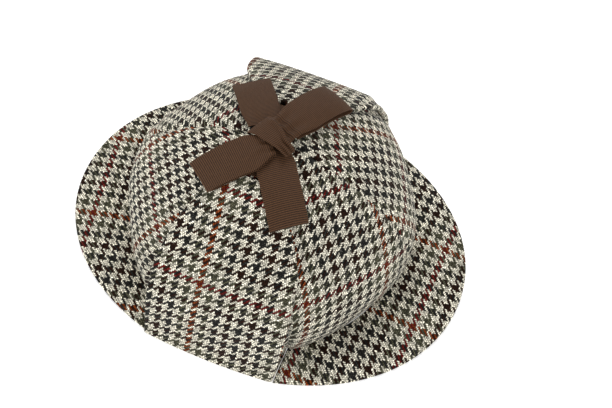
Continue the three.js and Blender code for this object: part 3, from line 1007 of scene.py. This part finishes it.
class HAT_OT_bow(bpy.types.Operator):
    """Makes the bow: two cut tails, two loops and the knot round their middle"""

    bl_idname = "hat.bow"
    bl_label = "Bow"

    def execute(self, context):
        ribbon = context.scene.hat_ribbon
        for row in TAILS:
            line = [(reach, TAIL_LIFT) for reach in np.linspace(BOW_START, row["reach"], 6)]

            def curled(reach, part, walked, row=row):
                # The cut end cups a little, with its corners off the cloth below.
                cup = row["curl"] * smooth(reach, row["reach"] - 25, row["reach"]) * (2 * part) ** 2
                return pleats(reach, part, 26, 0.35) + cup

            ribbon_arm(row["name"], row, line, pinched(row["pinch"]), curled, ribbon, slant=row["slant"])
        for row in LOOPS:
            line = []
            for section in LOOP_SECTIONS:
                rise = max(section["rise"] * row["puff"], min(section["rise"], 1.9))
                line.append((section["reach"] * row["reach"], LOOP_LIFT + rise))
            line[-1] = (row["back_to"], line[-1][1])

            def gathered(reach, part, walked):
                upper = smooth(walked, 0.5 * walked[-1, 0], 0.6 * walked[-1, 0])
                tucks = 0.5 * upper * np.cos(2 * np.pi * reach / 5) * (1 - smooth(reach, 7, 14))
                return pleats(reach, part, 24, 0.2 + 0.4 * upper) + tucks

            ribbon_arm(row["name"], row, line, pinched(row["pinch"]), gathered, ribbon, slant=row["slant"])

        def knot(column):
            def along(reach):
                return np.array([[from_table(KNOT_SECTIONS, "along", column, a)] for a in reach[:, 0]])

            return along

        def creased(reach, part, walked):
            # Its back edge rolls up in a lip, and creases run in where the front end dives under.
            lip = 2.2 * np.exp(-(((part + 0.36) / 0.09) ** 2))
            lip = lip * smooth(reach, -13, -8) * (1 - smooth(reach, 4, 11))
            front = smooth(reach, -3, 11)
            creases = 0.8 * front * np.cos(2 * np.pi * (2.3 * (part + 0.5) - 0.02 * reach))
            return lip + creases

        line = [(section["along"], KNOT_LIFT - section["drop"]) for section in KNOT_SECTIONS]
        half, drift = knot("half_width"), knot("drift")
        ribbon_arm("bow_knot", KNOT, line, lambda reach: 2 * half(reach), creased, ribbon, drift_at=drift)
        return {"FINISHED"}


class HAT_OT_fibres(bpy.types.Operator):
    """Scatters loose wool ends over the tweed"""

    bl_idname = "hat.fibres"
    bl_label = "Wool fibres"

    def execute(self, context):
        tweed = context.scene.hat_tweed
        material = shared_material(loose_wool, tweed)
        for group, rows in (("crown", PANELS), ("peaks", PEAKS), ("flaps", FLAPS)):
            meshes = []
            for seed, row in enumerate(rows):
                piece = bpy.data.objects.get(f"{row['name']}_tweed")
                if piece is None:
                    raise RuntimeError(f"make {row['name']} before its fibres")
                sizes = {
                    "Density": tweed.fibre_density,
                    "Length": tweed.fibre_length,
                    "Width": tweed.fibre_width / 2,
                    "Seed": seed,
                }
                meshes.append(grown(piece, fibres_tree, material, sizes))
            settle(joined(f"wool_fibres_{group}", meshes), "tweed")
        return {"FINISHED"}


def joined(name, meshes):
    """One object that holds several plain meshes."""
    objects = [bpy.data.objects.new(f"{name}_{i}", mesh) for i, mesh in enumerate(meshes)]
    for made in objects:
        bpy.context.scene.collection.objects.link(made)
    with bpy.context.temp_override(active_object=objects[0], selected_editable_objects=objects):
        bpy.ops.object.join()
    objects[0].name = name
    objects[0].data.name = name
    return objects[0]


class HAT_OT_studio(bpy.types.Operator):
    """Makes the floor, the soft light and the camera"""

    bl_idname = "hat.studio"
    bl_label = "Studio"

    def execute(self, context):
        scene = context.scene
        studio = scene.hat_studio
        half = 3.0
        corners = np.array([(-half, -half, 0), (half, -half, 0), (half, half, 0), (-half, half, 0)]) / MM
        floor = mesh_object(
            "floor", corners, np.array([[0, 1, 2, 3]]), corners[:, :2], shared_material(paper_sweep, studio)
        )
        # Name, place, width and share of the light's power.
        lights = [
            ("back_light", (-0.4, 0.9, 1.3), 1.0, 0.36),
            ("right_light", (1.3, -0.5, 0.9), 1.0, 0.28),
            ("left_light", (-1.1, -1.1, 0.8), 1.0, 0.36),
        ]
        for name, place, width, share in lights:
            lamp = bpy.data.lights.new(name, "AREA")
            lamp.shape = "DISK"
            lamp.size = width
            lamp.energy = studio.key_power * share
            holder = bpy.data.objects.new(name, lamp)
            holder.location = place
            holder.rotation_euler = (-Vector(place)).to_track_quat("-Z", "Y").to_euler()
            scene.collection.objects.link(holder)
        world = bpy.data.worlds.new("even_light")
        world.use_nodes = True
        world.node_tree.nodes["Background"].inputs["Color"].default_value = (1, 1, 1, 1)
        world.node_tree.nodes["Background"].inputs["Strength"].default_value = studio.fill_strength
        scene.world = world
        scene.view_settings.view_transform = "Standard"
        lens = bpy.data.cameras.new("camera")
        lens.sensor_width = 36
        lens.lens = studio.lens
        camera = bpy.data.objects.new("camera", lens)
        # Over the wearer's right side, turned a little towards the front, and aimed beside the hat's middle.
        azimuth, elevation, away = np.radians(23.64), np.radians(59.25), 1.023
        aside, down, middle_height = 0.0227, 0.0076, 0.0512
        level = np.cos(elevation)
        back = np.array([np.sin(azimuth) * level, -np.cos(azimuth) * level, np.sin(elevation)])
        right = np.array([np.cos(azimuth), np.sin(azimuth), 0])
        up = np.cross(back, right)
        aim = -back + aside * right - down * up
        aim /= np.linalg.norm(aim)
        side = np.cross(aim, up)
        side /= np.linalg.norm(side)
        top = np.cross(side, aim)
        turn = Matrix((side, top, -aim)).transposed()
        camera.location = Vector((0, 0, middle_height)) + away * Vector(back)
        camera.rotation_euler = turn.to_euler()
        scene.collection.objects.link(camera)
        scene.camera = camera
        return {"FINISHED"}


PIECES = [HAT_OT_crown, HAT_OT_peaks, HAT_OT_flaps, HAT_OT_ties, HAT_OT_bow, HAT_OT_fibres, HAT_OT_studio]
SETTINGS = {"hat_tweed": TweedSettings, "hat_ribbon": RibbonSettings, "hat_studio": StudioSettings}


class HAT_PT_hat(bpy.types.Panel):
    """Lists the hat's sizes, colours and pieces in the sidebar"""

    bl_label = "Deerstalker hat"
    bl_idname = "HAT_PT_hat"
    bl_space_type = "VIEW_3D"
    bl_region_type = "UI"
    bl_category = "Hat"

    def draw(self, context):
        for name, group in SETTINGS.items():
            box = self.layout.box()
            box.label(text=group.__doc__)
            for setting in group.__annotations__:
                box.prop(getattr(context.scene, name), setting)
        for operator in PIECES:
            self.layout.operator(operator.bl_idname)


def register():
    for made in (*SETTINGS.values(), *PIECES, HAT_PT_hat):
        bpy.utils.register_class(made)
    for name, group in SETTINGS.items():
        setattr(bpy.types.Scene, name, bpy.props.PointerProperty(type=group))


def unregister():
    for name in SETTINGS:
        delattr(bpy.types.Scene, name)
    for made in (HAT_PT_hat, *reversed(PIECES), *reversed(SETTINGS.values())):
        bpy.utils.unregister_class(made)


def main():
    register()
    for operator in PIECES:
        getattr(bpy.ops.hat, operator.bl_idname.removeprefix("hat."))()


if __name__ == "__main__":
    main()
